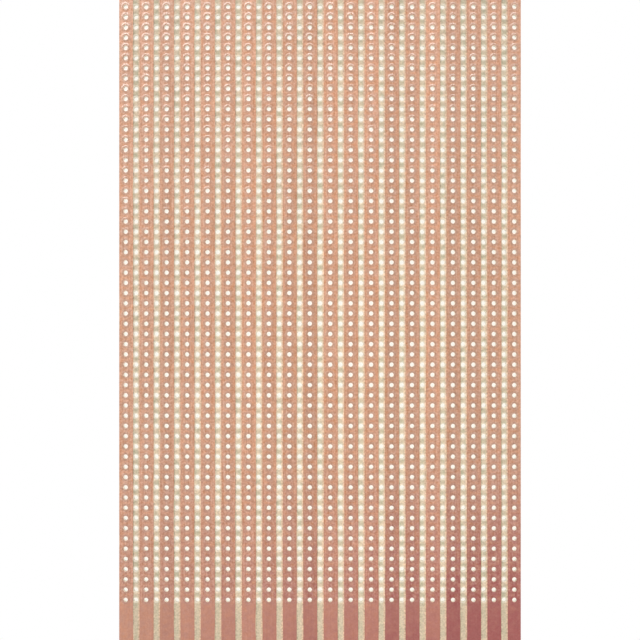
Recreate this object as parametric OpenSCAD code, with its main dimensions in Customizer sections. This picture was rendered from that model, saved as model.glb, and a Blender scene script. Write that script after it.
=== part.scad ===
// Strip-type prototype board: a punched laminate card with parallel copper strips.
// The copper side faces up (+Z). The contact end, where the strips run on unpunched,
// points to -Y, and the origin is the middle of the underside.

/* [Hole grid] */
// Distance between neighbouring holes, along and across
pitch = 2.54; // [2.4:0.01:3]
// Number of hole rows along the board
hole_rows = 59; // [2:1:80]
// Diameter of every hole
hole_d = 1.02; // [0.6:0.01:1.2]

/* [Card] */
// Thickness of the laminate under the copper
card_t = 1.6; // [0.8:0.1:3.2]
// From the outer hole columns to the long edges
side_margin = 1.6; // [1.3:0.01:4]
// From the first hole row to the plain end
plain_margin = 2.18; // [1.3:0.01:10]
// From the last hole row to the contact end
contact_margin = 10.5; // [1.5:0.1:30]

/* [Copper strips] */
// Number of copper strips, with a bare gap between neighbours
strips = 20; // [2:1:40]
// Width of the bare gap between two strips
gap_w = 1.6; // [1.4:0.01:2]
// How far the strips sit beside the hole grid
strip_offset = 0.12; // [0:0.01:0.2]
// Thickness of the copper foil
foil_t = 0.035; // [0.018:0.001:0.105]
// Depth of the channel that parts two strips, cut into the laminate
channel_depth = 0.05; // [0.02:0.01:0.2]

/* [Punched lips] */
// Height of the lip that the punch raised round each hole
lip_h = 0.04; // [0.02:0.01:0.12]
// Width of the lip's inner slope, from the hole up to the crest
lip_inner_w = 0.26; // [0.05:0.01:0.26]
// Width of the lip's outer slope, from the crest down to the flat foil
lip_outer_w = 0.4; // [0.05:0.01:0.4]

/* [Hidden] */
columns = 2 * strips - 1;
card_w = (columns - 1) * pitch + 2 * side_margin;
card_l = (hole_rows - 1) * pitch + plain_margin + contact_margin;
first_row_y = card_l / 2 - plain_margin;
first_column_x = -(columns - 1) / 2 * pitch;
hole_segments = 32;
// How far a cut runs past the faces that it opens
cut_over = 1;

laminate_color = "#d8cba6";
copper_color = "#cf917a";

function strip_name(i) = str("strip_", i < 10 ? "0" : "", i);

// Place of a hole column, counted from 0, and of a row, counted from 0 at the plain end
function column_x(c) = first_column_x + c * pitch;
function row_y(r) = first_row_y - r * pitch;

// The gap after strip i lies on the hole column between strips i and i + 1
function gap_x(i) = column_x(2 * i - 1) + strip_offset;

// The outer strips run out to the long edges
function strip_left(i) = i == 1 ? -card_w / 2 : gap_x(i - 1) + gap_w / 2;
function strip_right(i) = i == strips ? card_w / 2 : gap_x(i) - gap_w / 2;

// Repeats its children at every hole of one column
module hole_column(c) {
    for (r = [0:hole_rows - 1])
        translate([column_x(c), row_y(r)]) children();
}

module hole() {
    circle(d = hole_d, $fn = hole_segments);
}

// A full-length band between two lengthwise edges
module band(left, right) {
    translate([left, -card_l / 2]) square([right - left, card_l]);
}

// Shallow cut that parts strips i and i + 1, run off both ends of the card
module channel(i) {
    left = strip_right(i);
    right = strip_left(i + 1);
    translate([left, -card_l / 2 - cut_over, card_t - channel_depth])
        cube([right - left, card_l + 2 * cut_over, channel_depth + cut_over]);
}

// The card is one piece, punched all over, with full-height lands that carry the strips
module laminate() {
    color(laminate_color)
        difference() {
            linear_extrude(card_t)
                difference() {
                    band(-card_w / 2, card_w / 2);
                    for (c = [0:columns - 1]) hole_column(c) hole();
                }
            for (i = [1:strips - 1]) channel(i);
        }
}

// Ring of copper that the punch pushed up, with its crest between two slopes
module punched_lip() {
    hole_r = hole_d / 2;
    crest_r = hole_r + lip_inner_w;
    rotate_extrude($fn = hole_segments)
        polygon([[hole_r, 0], [crest_r + lip_outer_w, 0], [crest_r, lip_h]]);
}

// A strip of foil bonded to its land, flush with both ends of the card
module strip(i) {
    color(copper_color)
        translate([0, 0, card_t]) {
            linear_extrude(foil_t)
                difference() {
                    band(strip_left(i), strip_right(i));
                    hole_column(2 * i - 2) hole();
                }
            translate([0, 0, foil_t]) hole_column(2 * i - 2) punched_lip();
        }
}

laminate();
for (i = [1:strips])
    strip(i);
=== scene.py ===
import math
import random

import bpy
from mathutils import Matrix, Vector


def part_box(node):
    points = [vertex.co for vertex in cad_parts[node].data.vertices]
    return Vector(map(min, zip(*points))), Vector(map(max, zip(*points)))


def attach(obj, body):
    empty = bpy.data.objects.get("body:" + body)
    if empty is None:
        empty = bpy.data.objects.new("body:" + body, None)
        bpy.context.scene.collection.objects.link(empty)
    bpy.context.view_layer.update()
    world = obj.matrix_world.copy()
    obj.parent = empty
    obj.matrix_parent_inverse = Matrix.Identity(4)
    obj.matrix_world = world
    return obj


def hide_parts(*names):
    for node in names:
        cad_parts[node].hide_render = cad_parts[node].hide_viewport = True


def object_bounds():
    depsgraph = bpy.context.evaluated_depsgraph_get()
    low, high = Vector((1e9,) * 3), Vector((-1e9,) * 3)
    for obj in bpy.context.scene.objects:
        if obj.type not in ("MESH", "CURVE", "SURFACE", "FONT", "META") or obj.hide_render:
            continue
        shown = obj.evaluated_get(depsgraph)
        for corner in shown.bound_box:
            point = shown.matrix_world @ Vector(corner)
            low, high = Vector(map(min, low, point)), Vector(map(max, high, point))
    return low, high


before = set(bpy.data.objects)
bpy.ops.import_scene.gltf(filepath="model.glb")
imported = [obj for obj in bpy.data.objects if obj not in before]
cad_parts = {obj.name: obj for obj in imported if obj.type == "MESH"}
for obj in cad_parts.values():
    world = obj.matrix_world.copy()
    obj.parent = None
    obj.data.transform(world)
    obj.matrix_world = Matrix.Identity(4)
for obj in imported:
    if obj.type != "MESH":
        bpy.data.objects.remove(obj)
cad_low, cad_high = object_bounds()


# Camera: straight above the middle of the card, as on a copy stand, close enough that
# the holes near the ends show a little of their walls.
MM = 0.001
CAMERA_DISTANCE = 540 * MM   # from the lens to the copper
VIEW_WIDTH = 158.9 * MM      # what the square frame takes in at the copper
SENSOR_WIDTH = 36.0          # a full-frame sensor, in millimetres
NEAREST, FARTHEST = 0.01, 20.0   # what the camera takes in, in metres from the lens

copper_top = cad_high.z
lens_height = copper_top + CAMERA_DISTANCE
camera_data = bpy.data.cameras.new("copy_stand_camera")
camera_data.sensor_width = SENSOR_WIDTH
camera_data.lens = SENSOR_WIDTH * CAMERA_DISTANCE / VIEW_WIDTH
camera_data.clip_start, camera_data.clip_end = NEAREST, FARTHEST
camera = bpy.data.objects.new("copy_stand_camera", camera_data)
camera.location = (0.0, 0.0, lens_height)
bpy.context.collection.objects.link(camera)
bpy.context.scene.camera = camera
bpy.context.scene.view_settings.view_transform = "Standard"


# Light table: a pale floor that glows evenly, so that the ground and every hole read as
# white. It is a shade warmer under the card, whose cream underside throws the light back.
TABLE_HALF_SIZE = 3.0
TABLE_DROP = 0.02 * MM       # just under the card, so that the two faces don't fight
TABLE_GLOW = 1.0
WARM_INSET = 1.0 * MM        # how far inside the card's outline the warmer light ends
OPEN_WHITE = "#ffffff"
WARM_WHITE = "#fffbf1"

# What the colour mix's sockets are: its factor, its two colours and its colour result
FACTOR, FROM, TO, MIXED = 0, 6, 7, 2


def linear(hex_color):
    """An sRGB hex colour as linear values with full alpha."""
    parts = [int(hex_color[i:i + 2], 16) / 255 for i in (1, 3, 5)]
    return tuple(c / 12.92 if c <= 0.04045 else ((c + 0.055) / 1.055) ** 2.4 for c in parts) + (1.0,)


def add(tree, kind, inputs=None, **settings):
    """Adds a node. An input takes a value, an output, a node's first output or a list of these."""
    node = tree.nodes.new(kind)
    for name, value in settings.items():
        setattr(node, name, value)
    for name, given in (inputs or {}).items():
        for source in given if isinstance(given, list) else [given]:
            if isinstance(source, bpy.types.Node):
                source = source.outputs[0]
            if isinstance(source, bpy.types.NodeSocket):
                tree.links.new(source, node.inputs[name])
            else:
                node.inputs[name].default_value = source
    return node


def new_material(name):
    """An empty node material and its tree."""
    material = bpy.data.materials.new(name)
    material.use_nodes = True
    material.node_tree.nodes.clear()
    return material, material.node_tree


# The order of a board's corners that turns its face up, and down
FACE_UP, FACE_DOWN = (0, 1, 2, 3), (3, 2, 1, 0)


def stage_board(name, low, high, level, material, face):
    """A flat, level board of the set between two corners."""
    mesh = bpy.data.meshes.new(name)
    mesh.from_pydata([(low[0], low[1], level), (high[0], low[1], level),
                      (high[0], high[1], level), (low[0], high[1], level)], [], [face])
    mesh.materials.append(material)
    board = bpy.data.objects.new(name, mesh)
    bpy.context.collection.objects.link(board)
    return board


def opal_finish():
    """Opal sheet lit from below: a glow with no shading, which reads as a plain white ground."""
    material, tree = new_material("opal_light_table")
    spot = add(tree, "ShaderNodeSeparateXYZ", {0: add(tree, "ShaderNodeTexCoord").outputs["Object"]})
    aside = add(tree, "ShaderNodeMath", {0: spot.outputs["X"]}, operation="ABSOLUTE")
    along = add(tree, "ShaderNodeMath", {0: spot.outputs["Y"]}, operation="ABSOLUTE")
    past_side = add(tree, "ShaderNodeMath", {0: aside, 1: cad_high.x}, operation="SUBTRACT")
    past_end = add(tree, "ShaderNodeMath", {0: along, 1: cad_high.y}, operation="SUBTRACT")
    past = add(tree, "ShaderNodeMath", {0: past_end, 1: past_side}, operation="MAXIMUM")
    open_table = add(tree, "ShaderNodeMath", {0: past, 1: -WARM_INSET}, operation="GREATER_THAN")
    opal = add(tree, "ShaderNodeMix", {
        FACTOR: open_table, FROM: linear(WARM_WHITE), TO: linear(OPEN_WHITE)}, data_type="RGBA")
    glow = add(tree, "ShaderNodeEmission", {"Color": opal.outputs[MIXED], "Strength": TABLE_GLOW})
    add(tree, "ShaderNodeOutputMaterial", {"Surface": glow})
    return material


stage_board("light_table", (-TABLE_HALF_SIZE, -TABLE_HALF_SIZE), (TABLE_HALF_SIZE, TABLE_HALF_SIZE),
            -TABLE_DROP, opal_finish(), FACE_UP)


# Studio light: a soft panel high over the plain end, whose light the lips' slopes catch, a
# broad weaker one behind it, one on the left, one past the contact end, and an even pale room.
ROOM_LIGHT = 0.70


def softbox(name, place, width, height, power):
    """A rectangular area light that faces the middle of the card."""
    data = bpy.data.lights.new(name, "AREA")
    data.shape = "RECTANGLE"
    data.size, data.size_y = width, height
    data.energy = power
    lamp = bpy.data.objects.new(name, data)
    lamp.location = place
    lamp.rotation_mode = "QUATERNION"
    lamp.rotation_quaternion = lamp.location.to_track_quat("Z", "Y")
    bpy.context.collection.objects.link(lamp)


# Places and sizes in metres, power in watts
softbox("plain_end_panel", place=(-0.11, 0.44, 1.0), width=0.72, height=0.26, power=5.4)
softbox("window_panel", place=(-0.5, 1.1, 0.9), width=1.4, height=0.8, power=2.2)
softbox("left_panel", place=(-0.9, 0.1, 0.6), width=0.6, height=0.6, power=3.0)
softbox("contact_end_panel", place=(0.7, -0.85, 0.8), width=1.0, height=0.7, power=3.6)

world = bpy.data.worlds.new("pale_room")
world.use_nodes = True
room = world.node_tree.nodes["Background"]
room.inputs["Color"].default_value = linear("#ffffff")
room.inputs["Strength"].default_value = ROOM_LIGHT
bpy.context.scene.world = world


# Copy stand head: a flat board in matt black paint, fixed just behind the lens. The flat foil
# mirrors it as a deeper middle. The camera itself doesn't see it, so it blocks no view.
HEAD_LOW, HEAD_HIGH = (-0.05, -0.10), (0.05, 0.18)
HEAD_BEHIND_LENS = 30 * MM
PAINT_BLACK = "#141414"


def black_paint_finish():
    """Matt black paint: as dark from every side, with no glint of its own in the foil."""
    material, tree = new_material("copy_stand_black_paint")
    paint = add(tree, "ShaderNodeBsdfPrincipled", {"Base Color": linear(PAINT_BLACK), "Roughness": 0.9})
    add(tree, "ShaderNodeOutputMaterial", {"Surface": paint})
    return material


head = stage_board("copy_stand_head", HEAD_LOW, HEAD_HIGH, lens_height + HEAD_BEHIND_LENS,
                   black_paint_finish(), FACE_DOWN)
head.visible_camera = False


# The card: one piece of glass-epoxy laminate, punched all over on the 2.54 mm grid. Between
# the strips a cutter has taken a shallow channel, so the copper stands on lands.
PITCH = 2.54 * MM
ROWS = 59
HOLE_RADIUS = 0.51 * MM
PLAIN_MARGIN = 2.18 * MM         # from the first hole row to the plain end
CHANNEL_HALF_WIDTH = 0.8 * MM
CHANNEL_OFFSET = 0.12 * MM       # how far the channels lie to the right of the hole columns
CHANNEL_DEPTH = 0.05 * MM        # along the channel's hole column
CHANNEL_EDGE_DEPTH = 0.02 * MM   # at its two sides, from where its floor slopes down
EDGE_STRAY = 0.16 * MM           # how far the copper's cut edges stray from their line
STRAY_WAVES = (2.2 * MM, 9 * MM, 2.2 * MM)   # their size across, along and by height
CARD_HOLE_SEGMENTS = 16
CARD_SLOT_WIDTH = 1.1 * MM       # of the blank's open slots
WELD = 0.0005 * MM               # corners closer than this become one
SHARP_ANGLE = math.radians(40)   # an edge that bends more than this stays sharp

card_low, card_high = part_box("laminate")
strip_names = sorted(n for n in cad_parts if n.startswith("strip_"))
strip_boxes = [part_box(n) for n in strip_names]
columns = 2 * len(strip_names) - 1
first_column = -(columns - 1) / 2 * PITCH
first_row = card_high.y - PLAIN_MARGIN
last_row = first_row - (ROWS - 1) * PITCH


def sheet_blank(name, bands, slot_width, low_y, high_y, bottom):
    """A closed sheet with an open slot along each hole column, which collars fill later.

    A band is (left, hole column, right, height at its edges, height at its slot)."""
    places, faces = {}, []

    def face(*corners):
        faces.append([places.setdefault(corner, len(places)) for corner in corners])

    def level(x0, z0, x1, z1, y0, y1):
        face((x0, y0, z0), (x1, y0, z1), (x1, y1, z1), (x0, y1, z0))

    def upright(x, y0, y1, z0, z1):
        face((x, y0, z0), (x, y1, z0), (x, y1, z1), (x, y0, z1))

    half_slot = slot_width / 2
    lines = [low_y] + [last_row + (r - 0.5) * PITCH for r in range(ROWS + 1)] + [high_y]
    left, right = bands[0][0], bands[-1][2]
    under = [left] + [x for band in bands for x in (band[1] - half_slot, band[1] + half_slot)] + [right]
    for n, (y0, y1) in enumerate(zip(lines, lines[1:])):
        punched = 0 < n <= ROWS
        for x0, x, x1, edge, top in bands:
            level(x0, edge, x - half_slot, top, y0, y1)
            level(x + half_slot, top, x1, edge, y0, y1)
            if not punched:
                level(x - half_slot, top, x + half_slot, top, y0, y1)
        for k, (x0, x1) in enumerate(zip(under, under[1:])):
            if k % 2 == 0 or not punched:
                level(x1, bottom, x0, bottom, y0, y1)
        for a, b in zip(bands, bands[1:]):
            upright(a[2], y0, y1, b[3], a[3])
        upright(left, y0, y1, bands[0][3], bottom)
        upright(right, y0, y1, bottom, bands[-1][3])
    for y, turn in ((low_y, 1), (high_y, -1)):
        outline = [(x, y, bottom) for x in under]
        for x0, x, x1, edge, top in reversed(bands):
            outline += [(x1, y, edge), (x + half_slot, y, top), (x - half_slot, y, top), (x0, y, edge)]
        face(*outline[::turn])
    mesh = bpy.data.meshes.new(name)
    mesh.from_pydata(list(places), [], faces)
    piece = bpy.data.objects.new(name, mesh)
    bpy.context.collection.objects.link(piece)
    return piece


def tree_with(name, inputs):
    """A Geometry Nodes tree with a geometry input, named inputs and a geometry output."""
    tree = bpy.data.node_groups.new(name, "GeometryNodeTree")
    tree.is_modifier = True
    tree.interface.new_socket("Geometry", in_out="INPUT", socket_type="NodeSocketGeometry")
    for label, kind in inputs:
        tree.interface.new_socket(label, in_out="INPUT", socket_type="NodeSocket" + kind)
    tree.interface.new_socket("Geometry", in_out="OUTPUT", socket_type="NodeSocketGeometry")
    return tree, add(tree, "NodeGroupInput").outputs


# What every tree that works on the hole grid asks for
GRID_INPUTS = [("Columns", "Int"), ("Column step", "Float"), ("First column", "Float"),
               ("Rows", "Int"), ("Row step", "Float"), ("First row", "Float"),
               ("Hole radius", "Float"), ("Segments", "Int"), ("Finish", "Material")]


def hole_points(tree, size, level):
    """One point on every hole of the grid: a column of rows, repeated across."""
    down = add(tree, "ShaderNodeMath", {0: size["Row step"], 1: -1.0}, operation="MULTIPLY")
    rows = add(tree, "GeometryNodeMeshLine", {
        "Count": size["Rows"],
        "Start Location": add(tree, "ShaderNodeCombineXYZ", {"Y": size["First row"], "Z": level}),
        "Offset": add(tree, "ShaderNodeCombineXYZ", {"Y": down})})
    across = add(tree, "GeometryNodeMeshLine", {
        "Count": size["Columns"],
        "Start Location": add(tree, "ShaderNodeCombineXYZ", {"X": size["First column"]}),
        "Offset": add(tree, "ShaderNodeCombineXYZ", {"X": size["Column step"]})})
    repeated = add(tree, "GeometryNodeInstanceOnPoints", {"Points": across, "Instance": rows})
    return add(tree, "GeometryNodeRealizeInstances", {0: repeated})


def finish_tree(tree, size, repeated):
    """Instances joined to the piece, seams welded, corners kept sharp, and the finish set."""
    whole = add(tree, "GeometryNodeJoinGeometry", {0: [size["Geometry"], repeated]})
    real = add(tree, "GeometryNodeRealizeInstances", {0: whole})
    welded = add(tree, "GeometryNodeMergeByDistance", {"Geometry": real, "Distance": WELD})
    smooth = add(tree, "GeometryNodeSetShadeSmooth", {"Geometry": welded}, domain="FACE")
    bend = add(tree, "GeometryNodeInputMeshEdgeAngle")
    corner = add(tree, "FunctionNodeCompare", {"A": bend, "B": SHARP_ANGLE}, operation="GREATER_THAN")
    sharp = add(tree, "GeometryNodeSetShadeSmooth",
                {"Geometry": smooth, "Selection": corner, "Shade Smooth": False}, domain="EDGE")
    finished = add(tree, "GeometryNodeSetMaterial", {"Geometry": sharp, "Material": size["Finish"]})
    add(tree, "NodeGroupOutput", {0: finished})
    return tree


def punch_tree():
    """Fills the slots with collars: a rectangle with a hole, above and below, and the hole's wall."""
    tree, size = tree_with("punched_collars", GRID_INPUTS + [
        ("Top radius", "Float"), ("Slot width", "Float"), ("Top", "Float"), ("Bottom", "Float")])
    outline = add(tree, "GeometryNodeCurvePrimitiveQuadrilateral",
                  {"Width": size["Slot width"], "Height": size["Row step"]})

    def plate(radius, height):
        rim = add(tree, "GeometryNodeCurvePrimitiveCircle",
                  {"Resolution": size["Segments"], "Radius": radius})
        both = add(tree, "GeometryNodeJoinGeometry", {0: [outline, rim]})
        filled = add(tree, "GeometryNodeFillCurve", {"Curve": both})
        return add(tree, "GeometryNodeTransform", {
            "Geometry": filled, "Translation": add(tree, "ShaderNodeCombineXYZ", {"Z": height})})

    depth = add(tree, "ShaderNodeMath", {0: size["Top"], 1: size["Bottom"]}, operation="SUBTRACT")
    middle = add(tree, "ShaderNodeMath", {0: depth, 1: 0.5, 2: size["Bottom"]}, operation="MULTIPLY_ADD")
    tube = add(tree, "GeometryNodeMeshCylinder", {
        "Vertices": size["Segments"], "Radius": size["Hole radius"], "Depth": depth}, fill_type="NONE")
    wall = add(tree, "GeometryNodeTransform", {
        "Geometry": tube, "Translation": add(tree, "ShaderNodeCombineXYZ", {"Z": middle})})
    inward = add(tree, "GeometryNodeJoinGeometry", {0: [plate(size["Hole radius"], size["Bottom"]), wall]})
    collar = add(tree, "GeometryNodeJoinGeometry", {
        0: [plate(size["Top radius"], size["Top"]), add(tree, "GeometryNodeFlipFaces", {"Mesh": inward})]})
    collars = add(tree, "GeometryNodeInstanceOnPoints",
                  {"Points": hole_points(tree, size, 0.0), "Instance": collar})
    return finish_tree(tree, size, collars)


def shaped(piece, tree, values):
    """Runs a tree on a piece with its named inputs, and keeps the plain mesh that it makes."""
    modifier = piece.modifiers.new(tree.name, "NODES")
    modifier.node_group = tree
    for socket in tree.interface.items_tree:
        if socket.in_out == "INPUT" and socket.name in values:
            modifier[socket.identifier] = values[socket.name]
    evaluated = piece.evaluated_get(bpy.context.evaluated_depsgraph_get())
    made = bpy.data.meshes.new_from_object(evaluated)
    piece.modifiers.remove(modifier)
    piece.data = made
    made.name = piece.name


def beside_hole(tree, place, start, step):
    """Where a point lies beside the nearest hole of columns a step apart: across, and the distance."""
    apart = add(tree, "ShaderNodeSeparateXYZ", {0: place})
    shifted = add(tree, "ShaderNodeMath", {0: apart.outputs["X"], 1: start}, operation="SUBTRACT")
    across = add(tree, "ShaderNodeMath", {0: shifted, 1: step / 2, 2: -step / 2}, operation="WRAP")
    # Past the first and the last row no further row follows, so the distance grows on from there
    counted = add(tree, "ShaderNodeMath", {0: apart.outputs["Y"], 1: first_row}, operation="SUBTRACT")
    held = add(tree, "ShaderNodeClamp", {"Value": counted, "Min": last_row - first_row, "Max": 0.0})
    beyond = add(tree, "ShaderNodeMath", {0: counted, 1: held}, operation="SUBTRACT")
    wrapped = add(tree, "ShaderNodeMath", {0: held, 1: PITCH / 2, 2: -PITCH / 2}, operation="WRAP")
    along = add(tree, "ShaderNodeMath", {0: wrapped, 1: beyond}, operation="ADD")
    flat = add(tree, "ShaderNodeCombineXYZ", {"X": across, "Y": along})
    return across, add(tree, "ShaderNodeVectorMath", {0: flat}, operation="LENGTH").outputs["Value"]


def scale_of(sizes):
    """The scale at which a pattern has the given sizes along X, Y and Z."""
    return tuple(1 / size for size in sizes)


def wandering(tree, place):
    """How far a cut edge strays from its line: slow waves of some 9 mm with finer ones on them."""
    stretched = add(tree, "ShaderNodeMapping", {"Vector": place, "Scale": scale_of(STRAY_WAVES)})
    waves = add(tree, "ShaderNodeTexNoise", {
        "Vector": stretched, "Scale": 1.0, "Detail": 5.0, "Roughness": 0.6})
    return add(tree, "ShaderNodeMapRange", {
        "Value": waves, "From Min": 0.3, "From Max": 0.7, "To Min": -EDGE_STRAY, "To Max": EDGE_STRAY})


RESIN_CREAM = "#d4bfa2"
RESIN_GREY = "#ada98c"
CLOUD_SIZE = 2.0 * MM
GRAIN_SIZE = 0.5 * MM


def resin_color(tree, place):
    """Cloudy resin: soft patches between cream and green-grey, more even at the unpunched end."""
    clouds = add(tree, "ShaderNodeTexNoise", {"Vector": place, "Scale": 1 / CLOUD_SIZE, "Detail": 3.0})
    cloudy = add(tree, "ShaderNodeMapRange",
                 {"Value": clouds, "From Min": 0.4, "From Max": 0.6, "To Min": -0.5, "To Max": 0.5})
    unevenness = add(tree, "ShaderNodeMapRange", {
        "Value": add(tree, "ShaderNodeSeparateXYZ", {0: place}).outputs["Y"],
        "From Min": last_row - PITCH, "From Max": last_row, "To Min": 0.4, "To Max": 1.0})
    grey = add(tree, "ShaderNodeMath", {0: cloudy, 1: unevenness, 2: 0.45}, operation="MULTIPLY_ADD")
    resin = add(tree, "ShaderNodeMix", {
        FACTOR: grey, FROM: linear(RESIN_CREAM), TO: linear(RESIN_GREY)}, data_type="RGBA")
    return resin.outputs[MIXED]


STREAK_BUFF = "#d3bca4"
STREAK_SIZES = (0.15 * MM, 6 * MM, 0.4 * MM)    # across, along and by depth
# A painted highlight on the channel's right flank
PAINTED_FLANK_HIGHLIGHT = "#dda98a"
COPPER_SLIVER = "#c4937a"
# A painted shadow along the channel's left side
PAINTED_EDGE_SHADOW = "#8c7c5e"
SHADOW_LINE_PLACE = -0.74 * MM     # where the painted shadow line runs, from the channel's middle
SHADOW_RUNS = (4 * MM, 14 * MM, 4 * MM)   # how far apart and how long its darker runs are


def cutter_streaks(tree, place):
    """Cutter marks: fine lengthwise lines, from none to strong."""
    drawn = add(tree, "ShaderNodeMapping", {"Vector": place, "Scale": scale_of(STREAK_SIZES)})
    streaks = add(tree, "ShaderNodeTexNoise", {"Vector": drawn, "Scale": 1.0, "Detail": 3.0})
    return add(tree, "ShaderNodeMapRange",
               {"Value": streaks, "From Min": 0.35, "From Max": 0.7, "To Min": 0.0, "To Max": 0.7})


def channel_color(tree, place, inside, aside, resin, streaks):
    """What the cutter left: streaks and slivers of foil, with a painted highlight and shadow at the sides.
    """
    lined = add(tree, "ShaderNodeMix", {
        FACTOR: streaks, FROM: resin, TO: linear(STREAK_BUFF)}, data_type="RGBA")

    # Painted highlight: a paler, redder band on the channel's right, where its wall faces the light from
    # the left
    flank = add(tree, "ShaderNodeMapRange", {
        "Value": inside, "From Min": 0.23 * MM, "From Max": 0.68 * MM, "To Min": 0.0, "To Max": 0.5})
    flanked = add(tree, "ShaderNodeMix", {
        FACTOR: flank, FROM: lined.outputs[MIXED], TO: linear(PAINTED_FLANK_HIGHLIGHT)}, data_type="RGBA")

    # Left copper: where the cutter strayed, a sliver of foil stays on the channel's side
    reach = add(tree, "ShaderNodeMath", {0: aside, 1: wandering(tree, place)}, operation="SUBTRACT")
    sliver = add(tree, "ShaderNodeMapRange", {
        "Value": reach, "To Min": 0.0, "To Max": 0.8,
        "From Min": CHANNEL_HALF_WIDTH - 0.04 * MM, "From Max": CHANNEL_HALF_WIDTH + 0.02 * MM})
    smeared = add(tree, "ShaderNodeMix", {
        FACTOR: sliver, FROM: flanked.outputs[MIXED], TO: linear(COPPER_SLIVER)}, data_type="RGBA")

    # Painted shadow: a dark line along the channel's left side, where the copper's edge throws shade,
    # darker in runs
    from_line = add(tree, "ShaderNodeMath", {0: inside, 1: SHADOW_LINE_PLACE}, operation="SUBTRACT")
    off_line = add(tree, "ShaderNodeMath", {0: from_line}, operation="ABSOLUTE")
    line = add(tree, "ShaderNodeMapRange", {
        "Value": off_line, "From Min": 0.04 * MM, "From Max": 0.12 * MM, "To Min": 1.0, "To Max": 0.0})
    runs = add(tree, "ShaderNodeMapping", {
        "Vector": place, "Scale": scale_of(SHADOW_RUNS), "Location": (7.0, 3.0, 0.0)})
    shadow_noise = add(tree, "ShaderNodeTexNoise", {"Vector": runs, "Scale": 1.0, "Detail": 4.0})
    shadow_strength = add(tree, "ShaderNodeMapRange",
                 {"Value": shadow_noise, "From Min": 0.42, "From Max": 0.62, "To Min": 0.0, "To Max": 0.75})
    edge_shadow = add(tree, "ShaderNodeMath", {0: line, 1: shadow_strength}, operation="MULTIPLY")
    worked = add(tree, "ShaderNodeMix", {
        FACTOR: edge_shadow, FROM: smeared.outputs[MIXED], TO: linear(PAINTED_EDGE_SHADOW)}, data_type="RGBA")
    return worked.outputs[MIXED]


BUNDLE_SPACING = 0.8 * MM


def glass_weave(tree, place):
    """Glass weave: bundles both ways, a wave from -1 to 1."""
    turns = add(tree, "ShaderNodeVectorMath",
                {0: place, "Scale": math.tau / BUNDLE_SPACING}, operation="SCALE")
    bundles = add(tree, "ShaderNodeSeparateXYZ", {0: turns})
    warp = add(tree, "ShaderNodeMath", {0: bundles.outputs["X"]}, operation="SINE")
    weft = add(tree, "ShaderNodeMath", {0: bundles.outputs["Y"]}, operation="SINE")
    return add(tree, "ShaderNodeMath", {0: warp, 1: weft}, operation="MULTIPLY")


PLY_PALE = "#e0d6b8"
PLY_DARK = "#bdae86"
PLY_THICKNESS = 0.2 * MM


def sawn_color(tree, place):
    """Plies: eight layers, seen on the sawn edges and in the holes."""
    height = add(tree, "ShaderNodeSeparateXYZ", {0: place}).outputs["Z"]
    layers = add(tree, "ShaderNodeMath", {0: height, 1: math.tau / PLY_THICKNESS}, operation="MULTIPLY")
    ply = add(tree, "ShaderNodeMath", {0: layers}, operation="SINE")
    share = add(tree, "ShaderNodeMapRange",
                {"Value": ply, "From Min": -1.0, "From Max": 1.0, "To Min": 0.0, "To Max": 0.6})
    sawn = add(tree, "ShaderNodeMix", {
        FACTOR: share, FROM: linear(PLY_PALE), TO: linear(PLY_DARK)}, data_type="RGBA")
    return sawn.outputs[MIXED]


LIGHTEST_X, LIGHTEST_Y = 7.2 * MM, -33 * MM   # the lightest spot
DARKENING_X, DARKENING_Y = 60 * MM, 110 * MM      # how far the darkening spreads from there


def darker_off_middle(tree, place):
    """Bare laminate is darker toward the card's edges and most toward the plain end."""
    spread = add(tree, "ShaderNodeMapping", {
        "Vector": place, "Scale": (1 / DARKENING_X, 1 / DARKENING_Y, 0.0),
        "Location": (-LIGHTEST_X / DARKENING_X, -LIGHTEST_Y / DARKENING_Y, 0.0)})
    off_middle = add(tree, "ShaderNodeVectorMath", {0: spread}, operation="LENGTH").outputs["Value"]
    return add(tree, "ShaderNodeMapRange", {
        "Value": off_middle, "From Min": 0.3, "From Max": 1.2, "To Min": 0.98, "To Max": 0.77})


GLASS_TONE = "#a99e7e"
CRAZED_AND_GLOW_PALE = "#faf6ea"
CRAZED_WIDTH = 0.42 * MM


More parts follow.
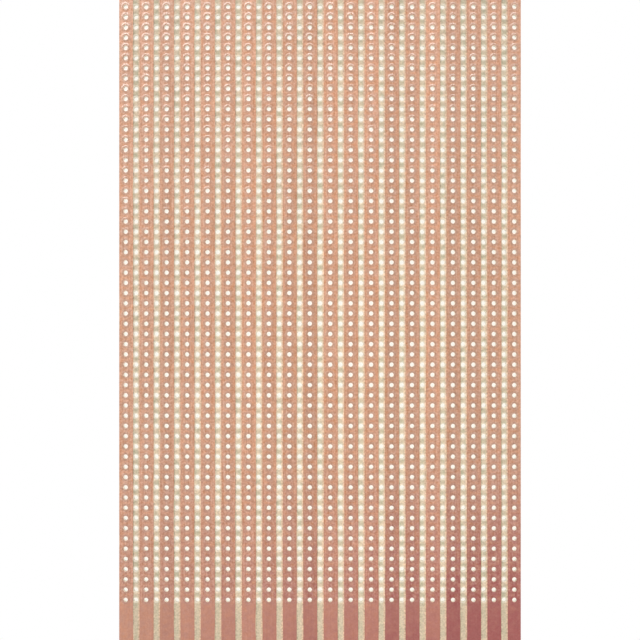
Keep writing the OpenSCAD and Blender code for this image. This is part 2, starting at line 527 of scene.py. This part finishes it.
def laminate_finish():
    """Bare glass-epoxy laminate: cream with a green-grey cast and a faint weave. Streaks along the
    channels read as sawn, and paler rims round the holes read as crazed by the punch, with a
    painted glow on the holes' walls."""
    material, tree = new_material("glass_epoxy_laminate_bare")
    coordinates = add(tree, "ShaderNodeTexCoord")
    place = coordinates.outputs["Object"]
    upward = add(tree, "ShaderNodeSeparateXYZ", {0: coordinates.outputs["Normal"]}).outputs["Z"]
    across = beside_hole(tree, place, first_column + PITCH, 2 * PITCH)[0]
    distance = beside_hole(tree, place, first_column, PITCH)[1]
    inside = add(tree, "ShaderNodeMath", {0: across, 1: CHANNEL_OFFSET}, operation="SUBTRACT")
    aside = add(tree, "ShaderNodeMath", {0: inside}, operation="ABSOLUTE")
    resin = resin_color(tree, place)
    streaks = cutter_streaks(tree, place)
    weave = glass_weave(tree, place)

    # What the cutter did is on the copper side alone, and the weave on both faces
    on_top = add(tree, "ShaderNodeMath", {0: upward, 1: 0.5}, operation="GREATER_THAN")
    skin = add(tree, "ShaderNodeMix", {
        FACTOR: on_top, FROM: resin,
        TO: channel_color(tree, place, inside, aside, resin, streaks)}, data_type="RGBA")
    glass_share = add(tree, "ShaderNodeMapRange",
                      {"Value": weave, "From Min": -1.0, "From Max": 1.0, "To Min": 0.0, "To Max": 0.2})
    woven = add(tree, "ShaderNodeMix", {
        FACTOR: glass_share, FROM: skin.outputs[MIXED], TO: linear(GLASS_TONE)}, data_type="RGBA")
    flatness = add(tree, "ShaderNodeMath", {0: upward}, operation="ABSOLUTE")
    on_face = add(tree, "ShaderNodeMapRange",
                  {"Value": flatness, "From Min": 0.4, "From Max": 0.7, "To Min": 0.0, "To Max": 1.0})
    clean = add(tree, "ShaderNodeMix", {
        FACTOR: on_face, FROM: sawn_color(tree, place), TO: woven.outputs[MIXED]}, data_type="RGBA")

    # Grain, rougher toward the ragged sides of the channel
    grain = add(tree, "ShaderNodeTexNoise", {"Vector": place, "Scale": 1 / GRAIN_SIZE, "Detail": 2.0})
    raggedness = add(tree, "ShaderNodeMapRange", {
        "Value": aside, "From Min": 0.4 * MM, "From Max": 0.8 * MM, "To Min": 0.9, "To Max": 2.2})
    centred = add(tree, "ShaderNodeMath", {0: grain, 1: 0.5}, operation="SUBTRACT")
    brightness = add(tree, "ShaderNodeMath", {0: centred, 1: raggedness, 2: 1.0}, operation="MULTIPLY_ADD")
    # Darker toward the card's edges and most toward the plain end
    shade = add(tree, "ShaderNodeMath", {0: brightness, 1: darker_off_middle(tree, place)}, operation="MULTIPLY")
    shaded = add(tree, "ShaderNodeHueSaturation", {"Color": clean.outputs[MIXED], "Value": shade})

    # Crazing and painted light: the punch leaves a paler rim round each hole, and the hole's
    # wall is palest, a painted glow of the table's light coming up through the resin
    near = add(tree, "ShaderNodeMapRange", {
        "Value": distance, "From Min": HOLE_RADIUS, "From Max": HOLE_RADIUS + CRAZED_WIDTH,
        "To Min": 0.4, "To Max": 0.0})
    # On the hole's wall the pale share is raised, as painted glow
    depth = add(tree, "ShaderNodeMath", {0: on_face, 1: -0.4, 2: 1.4}, operation="MULTIPLY_ADD")
    crazing_and_glow = add(tree, "ShaderNodeMath", {0: near, 1: depth}, operation="MULTIPLY")
    rimmed = add(tree, "ShaderNodeMix", {
        FACTOR: crazing_and_glow, FROM: shaded, TO: linear(CRAZED_AND_GLOW_PALE)}, data_type="RGBA")

    relief = add(tree, "ShaderNodeMath", {0: weave, 1: 0.2, 2: streaks}, operation="MULTIPLY_ADD")
    bump = add(tree, "ShaderNodeBump", {"Height": relief, "Strength": 0.5, "Distance": 0.012 * MM})
    body = add(tree, "ShaderNodeBsdfPrincipled", {
        "Base Color": rimmed.outputs[MIXED], "Roughness": 0.6, "IOR": 1.52, "Normal": bump,
        "Subsurface Weight": 0.25, "Subsurface Radius": (1.0, 0.9, 0.6), "Subsurface Scale": 0.5 * MM})
    add(tree, "ShaderNodeOutputMaterial", {"Surface": body})
    return material


# Under a strip the card is a land, and between two strips it is a channel
channel_bottom = card_high.z - CHANNEL_DEPTH
channel_edge = card_high.z - CHANNEL_EDGE_DEPTH
bands = []
for k, (low, high) in enumerate(strip_boxes):
    bands.append((low.x, first_column + 2 * k * PITCH, high.x, card_high.z, card_high.z))
    if k + 1 < len(strip_boxes):
        next_low = strip_boxes[k + 1][0]
        bands.append((high.x, first_column + (2 * k + 1) * PITCH, next_low.x, channel_edge, channel_bottom))
card = sheet_blank("card", bands, CARD_SLOT_WIDTH, card_low.y, card_high.y, card_low.z)
grid = {"Column step": 2 * PITCH, "Rows": ROWS, "Row step": PITCH, "First row": first_row,
        "Hole radius": HOLE_RADIUS}
card_collars = grid | {
    "Segments": CARD_HOLE_SEGMENTS, "Finish": laminate_finish(), "Top radius": HOLE_RADIUS,
    "Slot width": CARD_SLOT_WIDTH, "Bottom": card_low.z}
punch = punch_tree()
shaped(card, punch, card_collars | {
    "Columns": len(strip_boxes), "First column": first_column, "Top": card_high.z})
shaped(card, punch, card_collars | {
    "Columns": len(strip_boxes) - 1, "First column": first_column + PITCH, "Top": channel_bottom})
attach(card, "root")
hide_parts("laminate")


# The copper: twenty strips of rolled foil bonded to the lands. The punch has pushed up a
# low lip round each hole, and a thin clear flux lacquer lies over the metal.
STRIP_HOLE_SEGMENTS = 20
STRIP_SLOT_WIDTH = 2.4 * MM   # wide enough for a hole with its lip
STRIP_HALF_WIDTH = PITCH - CHANNEL_HALF_WIDTH
FOIL_THICKNESS = 0.035 * MM
LIP_WIDTH = 0.66 * MM
LIP_HEIGHT = 0.04 * MM
LIP_LOWEST = 0.55           # the lowest lip's share of the full height
LIP_CREST = 0.5             # how far out the crest lies, as a share of the width
LIP_RINGS = 5
RING_STEP = 1 / (LIP_RINGS - 1)
STRIP_SEED = 11
STRIP_TONE = "strip_tone"   # how readily a strip tarnishes beside the others
TONE_LOW, TONE_HIGH = 0.8, 1.1


def lip_tree():
    """Adds a raised lip round each hole, from the bore's edge out to the flat foil."""
    tree, size = tree_with("punched_lips", GRID_INPUTS + [
        ("Lip width", "Float"), ("Lip height", "Float"), ("Rings", "Int"),
        ("Top", "Float"), ("Seed", "Int")])
    around = add(tree, "ShaderNodeMath", {0: size["Segments"], 1: 1.0}, operation="ADD")
    sheet = add(tree, "GeometryNodeMeshGrid", {
        "Size X": 1.0, "Size Y": 1.0, "Vertices X": around, "Vertices Y": size["Rings"]})
    place = add(tree, "ShaderNodeSeparateXYZ", {0: add(tree, "GeometryNodeInputPosition")})
    part_turn = add(tree, "ShaderNodeMath", {0: place.outputs["X"], 1: 0.5}, operation="ADD")
    turn = add(tree, "ShaderNodeMath", {0: part_turn, 1: math.tau}, operation="MULTIPLY")
    # The first ring is the bore's edge, the second the crest, and the rest share the outer slope
    ring = add(tree, "ShaderNodeMath", {0: place.outputs["Y"], 1: 0.5}, operation="ADD")
    inner = add(tree, "ShaderNodeMath", {0: ring, 1: LIP_CREST / RING_STEP}, operation="MULTIPLY")
    outer = add(tree, "ShaderNodeMapRange", {
        "Value": ring, "From Min": RING_STEP, "From Max": 1.0,
        "To Min": LIP_CREST, "To Max": 1.0}, clamp=False)
    out = add(tree, "ShaderNodeMath", {0: inner, 1: outer}, operation="MINIMUM")
    radius = add(tree, "ShaderNodeMath",
                 {0: out, 1: size["Lip width"], 2: size["Hole radius"]}, operation="MULTIPLY_ADD")
    # Inside the crest the lip climbs straight, and outside it falls in a smooth curve
    fall = add(tree, "ShaderNodeMapRange", {
        "Value": out, "From Min": LIP_CREST, "From Max": 1.0, "To Min": 1.0, "To Max": 0.0},
        interpolation_type="SMOOTHSTEP")
    climb = add(tree, "ShaderNodeMath", {0: out, 1: 1 / LIP_CREST}, operation="MULTIPLY")
    rise = add(tree, "ShaderNodeMath", {0: climb, 1: fall}, operation="MINIMUM")
    height = add(tree, "ShaderNodeMath", {0: rise, 1: size["Lip height"]}, operation="MULTIPLY")
    side = add(tree, "ShaderNodeMath", {0: turn}, operation="COSINE")
    front = add(tree, "ShaderNodeMath", {0: turn}, operation="SINE")
    point = add(tree, "ShaderNodeCombineXYZ", {
        "X": add(tree, "ShaderNodeMath", {0: radius, 1: side}, operation="MULTIPLY"),
        "Y": add(tree, "ShaderNodeMath", {0: radius, 1: front}, operation="MULTIPLY"), "Z": height})
    bent = add(tree, "GeometryNodeSetPosition", {"Geometry": sheet, "Position": point})
    lip = add(tree, "GeometryNodeFlipFaces", {"Mesh": bent})
    share = add(tree, "FunctionNodeRandomValue", {2: LIP_LOWEST, 3: 1.0, "Seed": size["Seed"]})
    stretch = add(tree, "ShaderNodeCombineXYZ", {"X": 1.0, "Y": 1.0, "Z": share.outputs[1]})
    lips = add(tree, "GeometryNodeInstanceOnPoints", {
        "Points": hole_points(tree, size, size["Top"]), "Instance": lip, "Scale": stretch})
    return finish_tree(tree, size, lips)


COPPER_PINK = "#c2a08d"
COPPER_ORANGE = "#d5a07b"
WORKED_PINK = "#c9a391"
PAINTED_RING_SHADE = "#a79482"
HUE_PATCH = 1.1 * MM
WORKED_RADIUS = 1.3 * MM
SHADE_RING_RADIUS = 0.8 * MM


def foil_color(tree, hue, distance):
    """Clean foil: patches that lean to orange or pink, pinker round a hole, with a painted shade ring."""
    warm = add(tree, "ShaderNodeMapRange",
               {"Value": hue, "From Min": 0.1, "From Max": 0.9, "To Min": 0.0, "To Max": 1.0})
    mottled = add(tree, "ShaderNodeMix", {
        FACTOR: warm, FROM: linear(COPPER_PINK), TO: linear(COPPER_ORANGE)}, data_type="RGBA")
    worked = add(tree, "ShaderNodeMapRange", {
        "Value": distance, "From Min": HOLE_RADIUS, "From Max": WORKED_RADIUS,
        "To Min": 0.6, "To Max": 0.0})
    pinked = add(tree, "ShaderNodeMix", {
        FACTOR: worked, FROM: mottled.outputs[MIXED], TO: linear(WORKED_PINK)}, data_type="RGBA")
    # Painted shade: a duller, greyer ring round each hole, where the hole's edge and wall darken the foil
    from_ring = add(tree, "ShaderNodeMath", {0: distance, 1: SHADE_RING_RADIUS}, operation="SUBTRACT")
    off_ring = add(tree, "ShaderNodeMath", {0: from_ring}, operation="ABSOLUTE")
    ring = add(tree, "ShaderNodeMapRange", {
        "Value": off_ring, "From Min": 0.1 * MM, "From Max": 0.3 * MM, "To Min": 0.3, "To Max": 0.0})
    ring_shaded = add(tree, "ShaderNodeMix", {
        FACTOR: ring, FROM: pinked.outputs[MIXED], TO: linear(PAINTED_RING_SHADE)}, data_type="RGBA")
    return ring_shaded.outputs[MIXED]


TARNISH_RED = "#aa605b"
TARNISH_START, TARNISH_FULL = -26 * MM, -91 * MM   # along the strips, the latter past their end


def tarnish_share(tree, spot, hue, unevenness, tone):
    """Tarnish: grows toward the contact end, more on the right, patchily, as its strip's tone says."""
    aged = add(tree, "ShaderNodeMapRange", {
        "Value": spot.outputs["Y"], "From Min": TARNISH_START, "From Max": TARNISH_FULL,
        "To Min": 0.0, "To Max": 1.0}, interpolation_type="SMOOTHSTEP")
    leaning = add(tree, "ShaderNodeMapRange", {
        "Value": spot.outputs["X"], "From Min": card_low.x, "From Max": card_high.x,
        "To Min": 0.32, "To Max": 1.18})
    own = add(tree, "ShaderNodeMath", {0: leaning, 1: tone}, operation="MULTIPLY")
    patches = add(tree, "ShaderNodeMath", {0: hue, 1: 0.5}, operation="SUBTRACT")
    swing = add(tree, "ShaderNodeMath", {0: patches, 1: unevenness}, operation="MULTIPLY")
    patchy = add(tree, "ShaderNodeMath", {0: swing, 1: -1.7, 2: 1.0}, operation="MULTIPLY_ADD")
    owned = add(tree, "ShaderNodeMath", {0: own, 1: patchy}, operation="MULTIPLY")
    return add(tree, "ShaderNodeMath", {0: aged, 1: owned}, operation="MULTIPLY")


def cut_edge(tree, place, across):
    """Feathered edges: where the cutter strayed into the foil, it left only a skin of it."""
    beside = add(tree, "ShaderNodeMath", {0: across, 1: CHANNEL_OFFSET}, operation="SUBTRACT")
    outward = add(tree, "ShaderNodeMath", {0: beside}, operation="ABSOLUTE")
    reach = add(tree, "ShaderNodeMath", {0: outward, 1: wandering(tree, place)}, operation="ADD")
    return add(tree, "ShaderNodeMapRange", {
        "Value": reach, "To Min": 0.0, "To Max": 0.8,
        "From Min": STRIP_HALF_WIDTH - 0.02 * MM, "From Max": STRIP_HALF_WIDTH + 0.04 * MM})


# The near white of the painted highlight on each bore's corner
BORE_EDGE_HIGHLIGHT = "#fff1e2"
FOIL_SKIN = "#d2c0a4"
STAIN_SIZE = 1.2 * MM
COPPER_GRAIN = 0.45 * MM
ROLLED_SIZES = (0.2 * MM, 12 * MM, 0.5 * MM)   # across, along and by height
STAIN_WEIGHT, STREAK_WEIGHT = 0.25, 0.6   # beside the grain's weight of 1


def copper_finish():
    """Rolled copper foil under flux lacquer: satin metal with pink and orange mottling and rolling
    streaks, tarnished toward the contact end, with a sheen that catches the lips."""
    material, tree = new_material("rolled_copper_foil_lacquered")
    place = add(tree, "ShaderNodeTexCoord").outputs["Object"]
    spot = add(tree, "ShaderNodeSeparateXYZ", {0: place})
    across, distance = beside_hole(tree, place, first_column, 2 * PITCH)
    tone = add(tree, "ShaderNodeAttribute", attribute_name=STRIP_TONE).outputs["Fac"]
    hue = add(tree, "ShaderNodeTexNoise", {"Vector": place, "Scale": 1 / HUE_PATCH, "Detail": 3.0})

    # The unpunched end was never worked and keeps only a third of every unevenness
    unevenness = add(tree, "ShaderNodeMapRange", {
        "Value": spot.outputs["Y"], "From Min": last_row - PITCH / 2, "From Max": last_row,
        "To Min": 0.3, "To Max": 1.0})
    tarnished = add(tree, "ShaderNodeMix", {
        FACTOR: tarnish_share(tree, spot, hue, unevenness, tone),
        FROM: foil_color(tree, hue, distance), TO: linear(TARNISH_RED)}, data_type="RGBA")

    # Painted highlight: the bore's very corner is painted near white, a glint on the punched edge
    corner = add(tree, "ShaderNodeMapRange", {
        "Value": distance, "From Min": HOLE_RADIUS + 0.02 * MM, "From Max": HOLE_RADIUS + 0.08 * MM,
        "To Min": 0.7, "To Max": 0.0})
    edge_highlighted = add(tree, "ShaderNodeMix", {
        FACTOR: corner, FROM: tarnished.outputs[MIXED], TO: linear(BORE_EDGE_HIGHLIGHT)}, data_type="RGBA")
    feathered = add(tree, "ShaderNodeMix", {
        FACTOR: cut_edge(tree, place, across), FROM: edge_highlighted.outputs[MIXED],
        TO: linear(FOIL_SKIN)}, data_type="RGBA")

    # Brightness: soft stains, grain and rolling streaks, which are paler where they are brighter
    stains = add(tree, "ShaderNodeTexNoise", {"Vector": place, "Scale": 1 / STAIN_SIZE, "Detail": 2.0})
    grain = add(tree, "ShaderNodeTexNoise", {"Vector": place, "Scale": 1 / COPPER_GRAIN, "Detail": 2.0})
    drawn = add(tree, "ShaderNodeMapping", {"Vector": place, "Scale": scale_of(ROLLED_SIZES)})
    streaks = add(tree, "ShaderNodeTexNoise", {"Vector": drawn, "Scale": 1.0, "Detail": 3.0})
    fine = add(tree, "ShaderNodeMath", {0: streaks, 1: STREAK_WEIGHT, 2: grain}, operation="MULTIPLY_ADD")
    total = add(tree, "ShaderNodeMath", {0: stains, 1: STAIN_WEIGHT, 2: fine}, operation="MULTIPLY_ADD")
    centred = add(tree, "ShaderNodeMath",
                  {0: total, 1: (1 + STREAK_WEIGHT + STAIN_WEIGHT) / 2}, operation="SUBTRACT")
    uneven = add(tree, "ShaderNodeMath", {0: centred, 1: unevenness}, operation="MULTIPLY")
    brightness = add(tree, "ShaderNodeMath", {0: uneven, 1: 0.68, 2: 1.0}, operation="MULTIPLY_ADD")
    richness = add(tree, "ShaderNodeMath", {0: uneven, 1: -0.6, 2: 1.0}, operation="MULTIPLY_ADD")
    dulled = add(tree, "ShaderNodeMapRange", {
        "Value": tone, "From Min": TONE_LOW, "From Max": TONE_HIGH, "To Min": 1.05, "To Max": 0.95})
    shade = add(tree, "ShaderNodeMath", {0: brightness, 1: dulled}, operation="MULTIPLY")
    color = add(tree, "ShaderNodeHueSaturation", {
        "Color": feathered.outputs[MIXED], "Value": shade, "Saturation": richness})

    gloss = add(tree, "ShaderNodeMapRange",
                {"Value": stains, "From Min": 0.3, "From Max": 0.7, "To Min": 0.76, "To Max": 0.84})
    bump = add(tree, "ShaderNodeBump", {"Height": streaks, "Strength": 0.3, "Distance": 0.004 * MM})
    metal = add(tree, "ShaderNodeBsdfPrincipled", {
        "Base Color": color, "Metallic": 0.85, "Roughness": gloss, "Normal": bump,
        "Coat Weight": 1.0, "Coat Roughness": 0.17, "Coat IOR": 1.6})
    add(tree, "ShaderNodeOutputMaterial", {"Surface": metal})
    return material


copper_material = copper_finish()
lips = lip_tree()
chance = random.Random(STRIP_SEED)
for n, (name, (low, high)) in enumerate(zip(strip_names, strip_boxes)):
    foil_top = low.z + FOIL_THICKNESS
    hole_column = first_column + 2 * n * PITCH
    foil = sheet_blank("copper_" + name, [(low.x, hole_column, high.x, foil_top, foil_top)],
                       STRIP_SLOT_WIDTH, low.y, high.y, low.z)
    column = grid | {"Columns": 1, "First column": hole_column, "Segments": STRIP_HOLE_SEGMENTS,
                     "Finish": copper_material, "Top": foil_top}
    shaped(foil, punch, column | {
        "Top radius": HOLE_RADIUS + LIP_WIDTH, "Slot width": STRIP_SLOT_WIDTH, "Bottom": low.z})
    shaped(foil, lips, column | {
        "Lip width": LIP_WIDTH, "Lip height": LIP_HEIGHT, "Rings": LIP_RINGS, "Seed": STRIP_SEED + n})
    tone = foil.data.attributes.new(STRIP_TONE, "FLOAT", "POINT")
    tone.data.foreach_set("value", [chance.uniform(TONE_LOW, TONE_HIGH)] * len(foil.data.vertices))
    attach(foil, "root")
    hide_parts(name)
